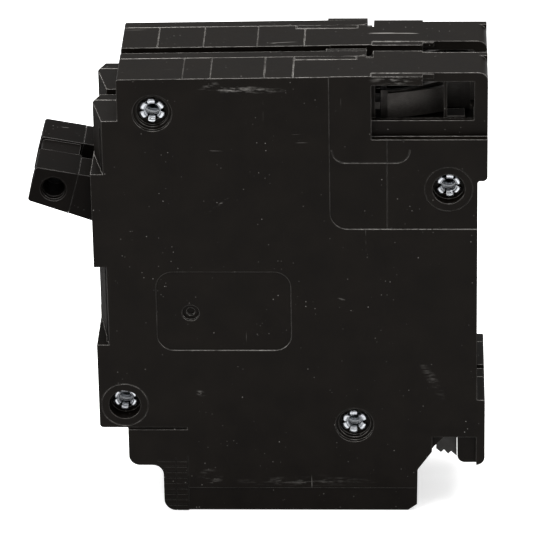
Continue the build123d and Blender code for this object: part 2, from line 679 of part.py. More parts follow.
def load_terminal(side):
    """Aluminium lug with its wire bore, and the slotted clamp screw."""
    y = MODULE_Y[side]
    centre = y + sum(LUG_Y) / 2
    with BuildPart() as lug:
        block(LUG_DEPTH, LUG_Z, y + LUG_Y[0], y + LUG_Y[1])
        chamfer(lug.edges().filter_by(Axis.Z), 0.4)
        upright((REAR_X - WIRE_DEPTH, centre), WIRE_R, 0, 20, Mode.SUBTRACT)
        lengthwise((centre, SCREW_Z), SCREW_R + GAP, 54.4, 60, Mode.SUBTRACT)
    save(lug.part, f"load_lug_{side}")
    with BuildPart() as screw:
        lengthwise((centre, SCREW_Z), SCREW_R, 56.6, 59.6)
        block((58.8, 60), (SCREW_Z - 3, SCREW_Z + 3), centre - 0.35, centre + 0.35, Mode.SUBTRACT)
    save(screw.part, f"lug_screw_{side}")


def braid(side):
    """Flexible copper braid from the top of the bimetal to the contact arm."""
    y = MODULE_Y[side] + 8.9
    with BuildPart() as rope:
        with BuildLine() as route:
            points = [(35.1, 36.0), (35.1, 41.0), (31.5, 46.0), (34.0, 52.0), (38.0, 56.0)]
            corners = [(REAR_X - d, y, z) for d, z in points]
            FilletPolyline(*corners, radius=2.0)
        with BuildSketch(Plane(origin=corners[0], z_dir=(0, 0, 1))):
            Circle(0.7)
        sweep(path=route.line)
    save(rope.part, f"braid_{side}")


def rail_clip(side):
    """Steel clip under the notch ceiling, with teeth that bite the mounting rail."""
    y = MODULE_Y[side]
    with BuildPart() as clip:
        teeth = [(8.3, 10.7, 0), (7.5, 10.0, 0), (7.0, 10.5, 0), (6.3, 9.7, 0), (5.8, 10.2, 0)]
        teeth.append((4.85, 9.3, 0))
        outline = [(4.85, 14.05, 0), (6.3, 14.05, 0), (8.3, 12.15, 0)] + teeth
        prism(outline, y + 2.3, y + 10.1)
        block((4.0, 9.0), (8.0, 13.0), y + 3.3, y + 9.1, Mode.SUBTRACT)
    save(clip.part, f"rail_clip_{side}")


def fault_sensor():
    """Sensing core round both load leads, with its winding on the upper third."""
    with BuildPart() as core:
        with BuildSketch(Plane.YZ.offset(REAR_X - CORE_DEPTH[1])):
            with Locations((0, CORE_Z)):
                Circle(CORE_R - 0.5)
                Circle(4.1, mode=Mode.SUBTRACT)
        extrude(amount=CORE_DEPTH[1] - CORE_DEPTH[0])
    save(core.part, "sensing_core")
    with BuildPart() as winding:
        with BuildSketch(Plane.YZ.offset(REAR_X - CORE_DEPTH[1] - 0.4)):
            with Locations((0, CORE_Z)):
                Circle(CORE_R)
                Circle(3.7, mode=Mode.SUBTRACT)
                Rectangle(16, 10.5, align=(Align.CENTER, Align.MAX), mode=Mode.SUBTRACT)
                Rectangle(16, 3.0, mode=Mode.SUBTRACT)
        extrude(amount=CORE_DEPTH[1] - CORE_DEPTH[0] + 0.8)
        with BuildSketch(Plane.YZ.offset(REAR_X - CORE_DEPTH[1])):
            with Locations((0, CORE_Z)):
                Circle(CORE_R - 0.5)
                Circle(4.1, mode=Mode.SUBTRACT)
        extrude(amount=CORE_DEPTH[1] - CORE_DEPTH[0], mode=Mode.SUBTRACT)
    save(winding.part, "sensing_winding")


def solenoid():
    """Trip solenoid in the second module: coil on its bobbin, and the plunger."""
    y = MODULE_Y["b"] + 5.1
    with BuildPart() as coil:
        lengthwise((y, SOLENOID_Z), 3.1, 44.6, 45.4)
        lengthwise((y, SOLENOID_Z), 2.7, 45.4, 54.2)
        lengthwise((y, SOLENOID_Z), 3.1, 54.2, 55.0)
        lengthwise((y, SOLENOID_Z), 1.1 + GAP, 44, 54.4, Mode.SUBTRACT)
    save(coil.part, "solenoid_coil")
    with BuildPart() as plunger:
        lengthwise((y, SOLENOID_Z), 1.1, 43.4, 54.2)
        lengthwise((y, SOLENOID_Z), 1.6, 41.6, 43.4)
    save(plunger.part, "solenoid_plunger")


def circuit_board():
    """Circuit board beside the second cover, with its larger parts."""
    y = MODULE_Y["b"]
    board_y = y + 9.0
    with BuildPart() as board:
        block((44.5, 60.5), (24.6, 45.6), board_y, board_y + 1.0)
    save(board.part, "circuit_board")
    with BuildPart() as chip:
        block((47.0, 51.0), (37.6, 43.4), board_y - 1.3, board_y)
    save(chip.part, "control_chip")
    with BuildPart() as capacitor:
        upright((REAR_X - 55.6, y + 6.7), 2.2, 37.0, 43.6)
    save(capacitor.part, "board_capacitor")
    with BuildPart() as varistor:
        post((48.6, 40.4), 2.6, y + 4.2, y + 6.2)
    save(varistor.part, "varistor")


def test_circuit():
    """Test button in the second front face, its return spring and its contact blade."""
    y = MODULE_Y["b"]
    middle = (sum(BUTTON_Y) / 2 + y, sum(BUTTON_Z) / 2)
    with BuildPart() as button:
        block((62.8, FRONT + 0.6), BUTTON_Z, y + BUTTON_Y[0], y + BUTTON_Y[1])
        fillet(button.faces().sort_by(Axis.X)[0].edges(), 0.4)
        block((61.9, 62.8), (BUTTON_Z[0] - 0.5, BUTTON_Z[1] + 0.5), y + 3.4, y + 8.9)
        lengthwise(middle, 1.2, 55.6, 61.9)
    save(button.part, "test_button")
    with BuildPart() as spring:
        lengthwise(middle, 2.0, 57.45, 61.85)
        lengthwise(middle, 1.35, 57, 62, Mode.SUBTRACT)
    save(spring.part, "button_spring")
    with BuildPart() as blade:
        block((53.4, 53.7), (24.8, 28.4), y + 4.6, y + 9.0)
    save(blade.part, "test_blade")


for side in MODULE_Y:
    base_shell(side)
    cover(side)
    handle_lever(side)
    line_jaw(side)
    line_strap(side)
    fixed_contact(side)
    moving_contact(side)
    contact_arm(side)
    arm_spring(side)
    cradle(side)
    arc_chute(side)
    thermal_unit(side)
    armature(side)
    load_path(side)
    load_terminal(side)
    braid(side)
    rail_clip(side)
case_rivets()
handle_tie()
pivot_pins()
jaw_springs()
trip_bar()
fault_sensor()
solenoid()
circuit_board()
test_circuit()
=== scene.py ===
"""Ground-fault circuit breaker: looks, light and camera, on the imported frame."""

import json
import math

import bmesh
import bpy
from mathutils import Matrix, Vector


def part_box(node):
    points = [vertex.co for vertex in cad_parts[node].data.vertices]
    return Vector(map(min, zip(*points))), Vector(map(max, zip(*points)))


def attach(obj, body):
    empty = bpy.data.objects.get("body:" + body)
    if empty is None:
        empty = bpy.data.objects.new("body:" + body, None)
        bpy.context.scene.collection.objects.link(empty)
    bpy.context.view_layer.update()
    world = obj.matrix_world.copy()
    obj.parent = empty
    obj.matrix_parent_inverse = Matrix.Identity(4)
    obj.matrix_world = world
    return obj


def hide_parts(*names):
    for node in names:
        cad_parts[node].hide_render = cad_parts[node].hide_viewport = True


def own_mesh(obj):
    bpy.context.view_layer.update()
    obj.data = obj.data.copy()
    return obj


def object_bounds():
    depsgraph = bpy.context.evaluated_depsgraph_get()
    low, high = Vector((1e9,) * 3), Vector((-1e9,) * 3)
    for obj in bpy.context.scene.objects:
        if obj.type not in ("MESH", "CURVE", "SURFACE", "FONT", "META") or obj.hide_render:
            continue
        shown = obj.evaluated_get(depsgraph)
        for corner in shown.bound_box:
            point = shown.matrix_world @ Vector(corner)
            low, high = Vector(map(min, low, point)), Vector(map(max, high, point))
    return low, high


MM = 0.001
PLASTIC_SHINE = 0.065  # specular level of the black mouldings
CAP_SHINE = 0.03  # specular level of the lever cap
RIBS = (49.8, 10.6)  # depth and height where the ribbed corner starts
RIBS_RUB_AND_HIGHLIGHT = 0.2  # share of the edge rub and painted edge highlight that the ribbed corner keeps
RUB_AND_HIGHLIGHT_WIDTH = 0.20  # width of the pale line along a moulding's edge, part rub and part painted highlight, millimetres
FACE_LINE_RUB_AND_HIGHLIGHT = 0.78  # share of the edge rub and painted edge highlight that the fine lines sunk in the near face keep
FACE_LINE_DEPTH = 0.30  # how deep those lines go, millimetres
TOP_STARTS = 69.5  # height above which edges count as top edges, millimetres
FRONT_ROUGHNESS = 0.92  # roughness of the sand-textured forward faces
TURNS_PER_SCALE = 0.314  # wave texture scale that gives one band a millimetre

PETAL_PATH = ((1.25, 0.5), (1.22, -0.15), (1.42, -0.50), (1.78, -0.58), (2.12, -0.40), (2.28, -0.10))
PETAL_HALF_ANGLES = (0.50, 0.49, 0.43, 0.38, 0.32, 0.20)  # radians, one for each point of the path
PETAL_WALL = 0.20
PETALS = 6
TUBE_RADII = (1.05, 1.68)  # bore and outside of the rivet's tube, millimetres
SEAT_HEIGHT = 0.6  # from the low end of a CAD rivet to the seat of its petals
HEAD_HEIGHT = 0.8  # from the high end of a CAD rivet to the back of its domed head
COIL_STEPS = 28  # sections along one turn of a wound spring
WIRE_SIDES = 10
ARM_WIRE, ARM_TURNS = 0.45, 15
BUTTON_WIRE, BUTTON_TURNS = 0.4, 6

FLOOR_SIZE = 6.0
FLOOR_DROP = 0.0002  # metres below the object's lowest point
FLOOR_GREY = 0.95
SHADOW_FILL = 0.65  # how far the floor's shadow is washed out, seen by the camera only
WORLD_LIGHT = 0.5
LENS = 282.44
CAMERA_PLACE = (0.0282, -0.6291, 0.3530)
CAMERA_TURN = (2.464, 26.479, -1.098)  # yaw, pitch and roll, degrees

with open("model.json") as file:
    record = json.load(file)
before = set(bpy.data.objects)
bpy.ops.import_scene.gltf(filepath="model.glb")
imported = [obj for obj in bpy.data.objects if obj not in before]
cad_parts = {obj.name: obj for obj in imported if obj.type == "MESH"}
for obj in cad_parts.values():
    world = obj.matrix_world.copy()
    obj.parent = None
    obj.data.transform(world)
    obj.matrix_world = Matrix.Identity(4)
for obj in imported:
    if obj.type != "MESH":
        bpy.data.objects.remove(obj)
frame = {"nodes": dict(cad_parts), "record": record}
cad_low, cad_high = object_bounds()
nodes = frame["nodes"]
REAR = cad_high[0] / MM  # x of the rear face, millimetres
NEAR_FACE = cad_low[1] / MM  # y of the near side face, millimetres


# ---------------------------------------------------------------- materials


class Graph:
    """Short way to wire a procedural material; lengths inside it are millimetres."""

    def __init__(self, name):
        self.material = bpy.data.materials.new(name)
        self.material.use_nodes = True
        self.tree = self.material.node_tree
        self.tree.nodes.clear()
        self.out = self.node("ShaderNodeOutputMaterial")
        self.shader = self.node("ShaderNodeBsdfPrincipled")
        self.link(self.shader.outputs[0], self.out.inputs["Surface"])
        place = self.node("ShaderNodeTexCoord")
        scale = self.node("ShaderNodeVectorMath", operation="SCALE")
        scale.inputs["Scale"].default_value = 1000.0
        self.link(place.outputs["Object"], scale.inputs[0])
        self.mm = scale.outputs[0]

    def node(self, kind, **settings):
        made = self.tree.nodes.new(kind)
        for key, value in settings.items():
            setattr(made, key, value)
        return made

    def link(self, source, target):
        self.tree.links.new(source, target)

    def put(self, socket, value):
        """Set a socket to a plain value, or wire it to another socket."""
        if isinstance(value, (int, float, tuple)):
            socket.default_value = value
        else:
            self.link(value, socket)

    def stretched(self, scale):
        mapping = self.node("ShaderNodeMapping")
        mapping.inputs["Scale"].default_value = scale
        self.link(self.mm, mapping.inputs["Vector"])
        return mapping.outputs[0]

    def noise(self, size, detail=3.0, rough=0.55, distortion=0.0, vector=None):
        made = self.node("ShaderNodeTexNoise")
        made.inputs["Scale"].default_value = 1.0 / size
        made.inputs["Detail"].default_value = detail
        made.inputs["Roughness"].default_value = rough
        made.inputs["Distortion"].default_value = distortion
        self.link(vector or self.mm, made.inputs["Vector"])
        return made.outputs["Fac"]

    def cells(self, size, feature="F1"):
        made = self.node("ShaderNodeTexVoronoi", feature=feature)
        made.inputs["Scale"].default_value = 1.0 / size
        self.link(self.mm, made.inputs["Vector"])
        return made.outputs["Distance"]

    def ramp(self, value, low, high, start=0.0, end=1.0):
        made = self.node("ShaderNodeMapRange", clamp=True)
        made.inputs["From Min"].default_value = low
        made.inputs["From Max"].default_value = high
        made.inputs["To Min"].default_value = start
        made.inputs["To Max"].default_value = end
        self.put(made.inputs["Value"], value)
        return made.outputs["Result"]

    def math(self, operation, a, b=0.0):
        made = self.node("ShaderNodeMath", operation=operation)
        self.put(made.inputs[0], a)
        self.put(made.inputs[1], b)
        return made.outputs[0]

    def mix(self, factor, a, b):
        made = self.node("ShaderNodeMix", data_type="RGBA")
        self.put(made.inputs[0], factor)
        self.put(made.inputs[6], (*a, 1.0) if isinstance(a, tuple) else a)
        self.put(made.inputs[7], (*b, 1.0) if isinstance(b, tuple) else b)
        return made.outputs[2]

    def edges(self, radius, low=0.02, high=0.30):
        """1 near an edge of the surface, 0 away from it."""
        rounded = self.node("ShaderNodeBevel", samples=6)
        rounded.inputs["Radius"].default_value = radius * MM
        flat = self.node("ShaderNodeNewGeometry")
        dot = self.node("ShaderNodeVectorMath", operation="DOT_PRODUCT")
        self.link(rounded.outputs[0], dot.inputs[0])
        self.link(flat.outputs["Normal"], dot.inputs[1])
        bend = self.math("SUBTRACT", 1.0, dot.outputs["Value"])
        return self.ramp(bend, low, high)

    def split(self, vector):
        made = self.node("ShaderNodeSeparateXYZ")
        self.link(vector, made.inputs[0])
        return made.outputs

    def edge_rub_and_highlight(self, radius):
        """Edge rub plus painted highlight: most on top, where edges facing up are painted as lit from above,
        less on the sides, upright lines and face lines.
        """
        rounded = self.node("ShaderNodeBevel", samples=4)
        rounded.inputs["Radius"].default_value = radius * MM
        bent = self.split(rounded.outputs[0])
        flat = self.split(self.node("ShaderNodeNewGeometry").outputs["Normal"])
        # painted highlight: edges and faces turned up get more of the pale colour, as if lit from above
        upward = self.ramp(bent["Z"], 0.10, 0.5, 0.22, 1.0)
        level = self.ramp(flat["Z"], 0.3, 0.8, 0.48, 1.0)
        across = self.ramp(self.math("ABSOLUTE", bent["X"]), 0.04, 0.2)
        top_line = self.math("MULTIPLY", across, self.ramp(flat["Z"], 0.8, 0.95))
        thin = self.ramp(top_line, 0.0, 1.0, 1.0, 0.16)
        place = self.split(self.mm)
        below_top = self.ramp(place["Z"], TOP_STARTS, TOP_STARTS + 1.0, 1.0, 0.0)
        line_end = NEAR_FACE + FACE_LINE_DEPTH
        in_face = self.ramp(place["Y"], line_end, line_end + 0.05, 1.0, 0.0)
        sunk = self.math("MULTIPLY", below_top, in_face)
        face_line = self.ramp(sunk, 0.0, 1.0, 1.0, FACE_LINE_RUB_AND_HIGHLIGHT)
        rubbed_and_highlit = self.math("MULTIPLY", self.math("MULTIPLY", upward, level), thin)
        return self.math("MULTIPLY", rubbed_and_highlit, face_line)

    def outside(self, x, z):
        """The ribbed corner's share of the edge rub and painted highlight below z and forward of x, 1
        elsewhere.
        """
        place = self.split(self.mm)
        below = self.ramp(place["Z"], z - 0.1, z + 0.1, 1.0, 0.0)
        forward = self.ramp(place["X"], x - 0.1, x + 0.1, 1.0, 0.0)
        return self.ramp(self.math("MULTIPLY", below, forward), 0.0, 1.0, 1.0, RIBS_RUB_AND_HIGHLIGHT)

    def matt_front(self):
        """Roughness of the sand-textured faces that look forward, and 0 on the others."""
        flat = self.split(self.node("ShaderNodeNewGeometry").outputs["Normal"])
        forward = self.math("MULTIPLY", flat["X"], -1.0)
        return self.ramp(forward, 0.80, 0.92, 0.0, FRONT_ROUGHNESS)

    def scuff(self, x, z, length, width, turn, strength):
        """Rubbed patch on the near side face, in millimetres, longest along its own turned axis."""
        place = self.node("ShaderNodeMapping", vector_type="TEXTURE")
        place.inputs["Location"].default_value = (x, NEAR_FACE, z)
        place.inputs["Rotation"].default_value = (0.0, math.radians(turn), 0.0)
        place.inputs["Scale"].default_value = (length / 2, 0.4, width / 2)
        self.link(self.mm, place.inputs["Vector"])
        ball = self.node("ShaderNodeTexGradient", gradient_type="SPHERICAL")
        self.link(place.outputs[0], ball.inputs["Vector"])
        grain = self.noise(0.5, 4.0, 0.7, 0.0, self.stretched((0.22, 1.0, 1.1)))
        grit = self.ramp(grain, 0.50, 0.72)
        soft = self.ramp(ball.outputs["Fac"], 0.0, 0.9)
        return self.math("MULTIPLY", self.math("MULTIPLY", soft, grit), strength)

    def finish(self, color, roughness, metallic=0.0, bumps=(), edge=0.0, specular=0.5):
        self.put(self.shader.inputs["Base Color"], color)
        self.put(self.shader.inputs["Roughness"], roughness)
        self.shader.inputs["Metallic"].default_value = metallic
        self.shader.inputs["Specular IOR Level"].default_value = specular
        normal = None
        if edge:
            rounded = self.node("ShaderNodeBevel", samples=6)
            rounded.inputs["Radius"].default_value = edge * MM
            normal = rounded.outputs[0]
        for height, depth in bumps:
            bump = self.node("ShaderNodeBump")
            bump.inputs["Strength"].default_value = 1.0
            bump.inputs["Distance"].default_value = depth * MM
            self.put(bump.inputs["Height"], height)
            if normal is not None:
                self.link(normal, bump.inputs["Normal"])
            normal = bump.outputs[0]
        if normal is not None:
            self.link(normal, self.shader.inputs["Normal"])
        return self.material


def moulded(name, dark, light, worn_and_highlight, gloss=(0.40, 0.58), wear_and_highlight=1.0, scuffs=(), shine=PLASTIC_SHINE):
    """Hard moulded plastic: mottled, scratched, dusty, and pale along its edges from rub plus a painted
    highlight.
    """
    g = Graph(name)
    mottle = g.noise(6.0, 5.0, 0.6)
    grain = g.noise(0.35, 3.0, 0.6)
    color = g.mix(g.ramp(mottle, 0.35, 0.68), dark, light)
    hair_a = g.noise(0.9, 2.0, 0.5, 0.6, g.stretched((0.035, 1.0, 1.3)))
    hair_b = g.noise(0.8, 2.0, 0.5, 0.6, g.stretched((1.2, 1.0, 0.03)))
    scratch = g.math("MAXIMUM", g.ramp(hair_a, 0.735, 0.76), g.ramp(hair_b, 0.745, 0.77))
    patches = g.ramp(g.noise(9.0, 3.0), 0.50, 0.62)
    scratch = g.math("MULTIPLY", scratch, patches)
    dust = g.ramp(g.cells(0.9), 0.12, 0.05)
    dust = g.math("MULTIPLY", dust, g.ramp(g.noise(4.0, 4.0), 0.53, 0.64))
    fine_breaks = g.ramp(g.noise(0.9, 4.0, 0.7), 0.30, 0.54, 0.15, 1.0)
    breaks = g.math("MULTIPLY", fine_breaks, g.ramp(g.noise(7.0, 2.0), 0.3, 0.55, 0.4, 1.0))
    # pale edge line: part rub, part painted highlight
    rim = g.math("MULTIPLY", g.edges(RUB_AND_HIGHLIGHT_WIDTH, 0.008, 0.12), breaks)
    rim = g.math("MULTIPLY", rim, g.edge_rub_and_highlight(RUB_AND_HIGHLIGHT_WIDTH))
    rim = g.math("MULTIPLY", rim, g.outside(REAR - RIBS[0], RIBS[1]))
    marks_and_highlight = g.math("MAXIMUM", g.math("MULTIPLY", rim, wear_and_highlight), g.math("MULTIPLY", scratch, 0.30 * wear_and_highlight))
    marks_and_highlight = g.math("MAXIMUM", marks_and_highlight, g.math("MULTIPLY", dust, 0.32 * wear_and_highlight))
    for scuff in scuffs:
        marks_and_highlight = g.math("MAXIMUM", marks_and_highlight, g.scuff(*scuff))
    # pale colour for scratches, dust, scuffs, edge rub and the painted edge highlight
    color = g.mix(marks_and_highlight, color, worn_and_highlight)
    rough = g.math("ADD", g.ramp(mottle, 0.3, 0.7, gloss[0], gloss[1]), g.math("MULTIPLY", marks_and_highlight, 0.2))
    rough = g.math("MAXIMUM", rough, g.matt_front())
    bumps = ((grain, 0.006), (g.noise(3.0, 2.0), 0.015))
    return g.finish(color, rough, bumps=bumps, edge=0.14, specular=shine)


def metal(
    name,
    dark,
    light,
    gloss=(0.22, 0.42),
    streak=(0.05, 1.0, 1.0),
    depth=0.004,
    tarnish=None,
    rim=None,
    metallic=1.0,
):
    """Drawn or rolled metal: fine streaks one way, with stains and bright edges."""
    g = Graph(name)
    lines = g.noise(0.12, 3.0, 0.6, 0.0, g.stretched(streak))
    cloud = g.noise(2.5, 4.0, 0.6)
    color = g.mix(g.ramp(lines, 0.3, 0.7), dark, light)
    if tarnish:
        color = g.mix(g.ramp(cloud, 0.5, 0.72, 0.0, 0.7), color, tarnish)
    bright = rim or tuple(min(1.0, c * 1.15) for c in light)
    color = g.mix(g.math("MULTIPLY", g.edges(0.1), 0.6), color, bright)
    rough = g.ramp(cloud, 0.3, 0.7, gloss[0], gloss[1])
    return g.finish(color, rough, metallic, bumps=((lines, depth),), edge=0.06)


def plain_plastic(name, dark, light, gloss=(0.4, 0.6)):
    """Inner moulding or coating with a soft mottle and a fine grain."""
    g = Graph(name)
    mottle = g.noise(3.0, 4.0)
    color = g.mix(g.ramp(mottle, 0.35, 0.65), dark, light)
    rough = g.ramp(mottle, 0.3, 0.7, gloss[0], gloss[1])
    return g.finish(color, rough, bumps=((g.noise(0.25, 3.0), 0.008),), edge=0.08)


def wound(name, dark, light, pitch):
    """Enamelled wire laid in turns side by side along X."""
    g = Graph(name)
    wave = g.node("ShaderNodeTexWave", wave_type="BANDS", bands_direction="X")
    wave.inputs["Scale"].default_value = TURNS_PER_SCALE / pitch
    wave.inputs["Distortion"].default_value = 0.4
    g.link(g.mm, wave.inputs["Vector"])
    color = g.mix(g.ramp(wave.outputs["Fac"], 0.1, 0.8), dark, light)
    rough = g.ramp(g.noise(2.0), 0.3, 0.7, 0.18, 0.34)
    return g.finish(color, rough, 0.7, bumps=((wave.outputs["Fac"], 0.06),))


def woven(name, dark, light, pitch):
    """Flat braid of fine copper wires, crossing both ways."""
    g = Graph(name)
    strands = []
    for turn in (38.0, -38.0):
        mapping = g.node("ShaderNodeMapping")
        mapping.inputs["Rotation"].default_value = (0.0, math.radians(turn), math.radians(turn))
        g.link(g.mm, mapping.inputs["Vector"])
        wave = g.node("ShaderNodeTexWave", wave_type="BANDS", bands_direction="Z")
        wave.inputs["Scale"].default_value = TURNS_PER_SCALE / pitch
        g.link(mapping.outputs[0], wave.inputs["Vector"])
        strands.append(wave.outputs["Fac"])
    weave = g.math("MAXIMUM", *strands)
    color = g.mix(g.ramp(weave, 0.45, 0.95), dark, light)
    rough = g.ramp(g.noise(1.5), 0.3, 0.7, 0.25, 0.42)
    return g.finish(color, rough, 1.0, bumps=((weave, 0.09),))


def board(name):
    """Green solder mask with buried tracks and tinned pads."""
    g = Graph(name)
    tracks = g.cells(1.6, "DISTANCE_TO_EDGE")
    color = g.mix(g.ramp(tracks, 0.10, 0.06), (0.008, 0.05, 0.02), (0.02, 0.11, 0.045))
    pads = g.ramp(g.cells(2.2), 0.20, 0.16)
    color = g.mix(pads, color, (0.55, 0.53, 0.48))
    rough = g.ramp(pads, 0.0, 1.0, 0.30, 0.22)
    raised = g.ramp(tracks, 0.10, 0.06)
    return g.finish(color, rough, bumps=((raised, 0.03),), edge=0.05)


# Rubbed patches: x, z, length, width, turn in degrees, strength
SCUFFS = (
    (REAR - 14.6, 79.1, 10.0, 1.8, 0.0, 0.40),
    (REAR - 12.0, 69.6, 9.0, 1.4, 0.0, 0.25),
    (REAR - 39.5, 77.6, 15.0, 1.5, 1.0, 0.32),
    (REAR - 44.5, 78.2, 3.0, 2.6, 0.0, 0.20),
    (REAR - 43.9, 57.0, 6.0, 0.4, -38.0, 0.35),
    (REAR - 30.0, 5.6, 26.0, 2.0, 0.0, 0.12),
    (REAR - 9.0, 25.0, 9.0, 2.0, 62.0, 0.10),
    (REAR - 47.5, 22.4, 2.2, 1.2, 30.0, 0.35),
    (REAR - 46.2, 6.4, 4.5, 3.5, 0.0, 0.16),
    (REAR - 24.0, 40.0, 5.0, 0.4, 24.0, 0.22),
)
MATERIALS = {
    "case_black": moulded(
        "case_black",
        (0.0036, 0.0026, 0.0018),
        (0.0066, 0.0052, 0.0040),
        (0.70, 0.67, 0.63),
        scuffs=SCUFFS,
    ),
    "cap_black": moulded(
        "cap_black",
        (0.0026, 0.0020, 0.0016),
        (0.0050, 0.0041, 0.0034),
        (0.50, 0.48, 0.46),
        wear_and_highlight=0.9,
        shine=CAP_SHINE,
    ),
    "rivet_zinc": metal(
        "rivet_zinc",
        (0.40, 0.42, 0.45),
        (0.80, 0.82, 0.85),
        (0.18, 0.40),
        (0.6, 1.0, 1.0),
        0.012,
    ),
    "copper": metal("copper", (0.36, 0.16, 0.085), (0.58, 0.29, 0.17), tarnish=(0.10, 0.045, 0.025)),
    "tinned_copper": metal(
        "tinned_copper",
        (0.50, 0.47, 0.42),
        (0.70, 0.68, 0.63),
        tarnish=(0.42, 0.28, 0.19),
    ),
    "silver": metal("silver", (0.62, 0.60, 0.56), (0.82, 0.80, 0.76), (0.25, 0.5), (1, 1, 1), 0.01),
    "spring_steel": metal("spring_steel", (0.10, 0.095, 0.09), (0.20, 0.19, 0.18), (0.30, 0.5)),
    "steel": metal("steel", (0.42, 0.42, 0.41), (0.62, 0.62, 0.61), tarnish=(0.32, 0.28, 0.20)),
    "fibre": plain_plastic("fibre", (0.16, 0.045, 0.02), (0.24, 0.075, 0.035), (0.6, 0.8)),
    "bimetal": metal("bimetal", (0.38, 0.34, 0.27), (0.56, 0.51, 0.42), streak=(1.0, 1.0, 0.05)),
    "nylon": plain_plastic("nylon", (0.48, 0.45, 0.38), (0.60, 0.57, 0.50)),
    "lead_black": plain_plastic("lead_black", (0.010, 0.010, 0.010), (0.02, 0.02, 0.02), (0.45, 0.65)),
    "aluminium": metal("aluminium", (0.60, 0.60, 0.61), (0.76, 0.76, 0.77), (0.28, 0.45), (1.0, 1.0, 0.05)),
    "ferrite": plain_plastic("ferrite", (0.014, 0.014, 0.016), (0.03, 0.03, 0.033)),
    "winding": wound("winding", (0.16, 0.05, 0.02), (0.55, 0.23, 0.10), 0.28),
    "coil": wound("coil", (0.16, 0.045, 0.02), (0.58, 0.22, 0.09), 0.22),
    "board": board("board"),
    "chip": plain_plastic("chip", (0.010, 0.010, 0.010), (0.018, 0.018, 0.018), (0.5, 0.7)),
    "capacitor": plain_plastic("capacitor", (0.010, 0.016, 0.07), (0.018, 0.028, 0.10), (0.25, 0.4)),
    "varistor": plain_plastic("varistor", (0.015, 0.06, 0.22), (0.025, 0.09, 0.30), (0.2, 0.35)),
    "button": moulded("button", (0.40, 0.38, 0.33), (0.48, 0.46, 0.41), (0.60, 0.58, 0.52), (0.35, 0.5), 0.4),
}

# Finishes for pieces that need a look of their own within a shared slot
MATERIALS["braid"] = woven("braid", (0.16, 0.065, 0.035), (0.52, 0.26, 0.15), 0.32)
# Very dark, part-metallic finish for the rail clips
MATERIALS["dark_clip"] = metal(
    "dark_clip",
    (0.010, 0.009, 0.008),
    (0.022, 0.020, 0.018),
    (0.5, 0.7),
    rim=(0.08, 0.075, 0.07),
    metallic=0.3,
)
# Jaw metal: dark tarnished plating, with its base colours darkened further as painted shade inside the window
MATERIALS["jaw"] = metal(
    "jaw",
    (0.030, 0.026, 0.023),
    (0.055, 0.049, 0.044),
    (0.5, 0.7),
    tarnish=(0.022, 0.018, 0.015),
    rim=(0.20, 0.19, 0.17),
    metallic=0.35,
)
OWN_FINISH = {"jaw_springs": "jaw"}
for pole in "ab":
    OWN_FINISH[f"braid_{pole}"] = "braid"
    OWN_FINISH[f"line_jaw_{pole}"] = "jaw"
    OWN_FINISH[f"line_strap_{pole}"] = "jaw"
    OWN_FINISH[f"rail_clip_{pole}"] = "dark_clip"

for part in frame["record"]["subparts"]:
    skin = MATERIALS[OWN_FINISH.get(part["node"], part["material_slot"])]
    shown = nodes[part["node"]]
    shown.data.materials.clear()
    shown.data.materials.append(skin)


# ---------------------------------------------------------------- meshes


def mesh_piece(name, bm, slot):
    """A new smooth piece from a bmesh, with its slot's material, riding on the case."""
    bmesh.ops.recalc_face_normals(bm, faces=bm.faces)
    data = bpy.data.meshes.new(name)
    bm.to_mesh(data)
    bm.free()
    for face in data.polygons:
        face.use_smooth = True
    piece = bpy.data.objects.new(name, data)
    bpy.context.scene.collection.objects.link(piece)
    data.materials.append(MATERIALS[slot])
    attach(piece, "case")
    return piece


def islands(node):
    """Low and high corners, in millimetres, of each separate solid in a CAD node."""
    bm = bmesh.new()
    bm.from_mesh(nodes[node].data)
    bmesh.ops.remove_doubles(bm, verts=bm.verts, dist=1e-7)
    left = set(bm.verts)
    boxes = []
    while left:
        front = [left.pop()]
        found = list(front)
        while front:
            for edge in front.pop().link_edges:
                for vertex in edge.verts:
                    if vertex in left:
                        left.remove(vertex)
                        front.append(vertex)
                        found.append(vertex)
        low = [min(v.co[i] for v in found) / MM for i in range(3)]
        high = [max(v.co[i] for v in found) / MM for i in range(3)]
        boxes.append((low, high))
    bm.free()
    return sorted(boxes)


def point(x, y, z):
    return Vector((x, y, z)) * MM


def lathe(bm, profile, centre, turns=48):
    """Closed ring about a line along Y: profile is a loop of (radius, y) points."""
    rings = []
    for step in range(turns):
        angle = math.tau * step / turns
        across, up = math.cos(angle), math.sin(angle)
        rings.append([bm.verts.new(point(centre[0] + r * across, y, centre[1] + r * up)) for r, y in profile])
    for step in range(turns):
        ring, following = rings[step], rings[(step + 1) % turns]
        for i in range(len(profile)):
            j = (i + 1) % len(profile)
            bm.faces.new((ring[i], ring[j], following[j], following[i]))


def petal_row(bm, centre, seat, middle, radius, offset, half):
    """Outer and inner rows of five points across a petal, at one point of its path."""
    rows = []
    upright = offset > -0.3 and radius < 1.4
    lying = radius >= 1.4 or offset <= -0.3
    for side in (0.0, 1.0):
        inner = radius - (PETAL_WALL if upright else 0.0) * side
        lift = PETAL_WALL * side if lying else 0.0
        row = []
        for k in range(5):
            angle = middle + half * (k - 2) / 2.0
            crown = 0.05 * math.cos((k - 2) * 0.7)
            x = centre[0] + inner * math.cos(angle)
            z = centre[1] + inner * math.sin(angle)
            row.append(bm.verts.new(point(x, seat + offset + lift - crown, z)))
        rows.append(row)
    return rows


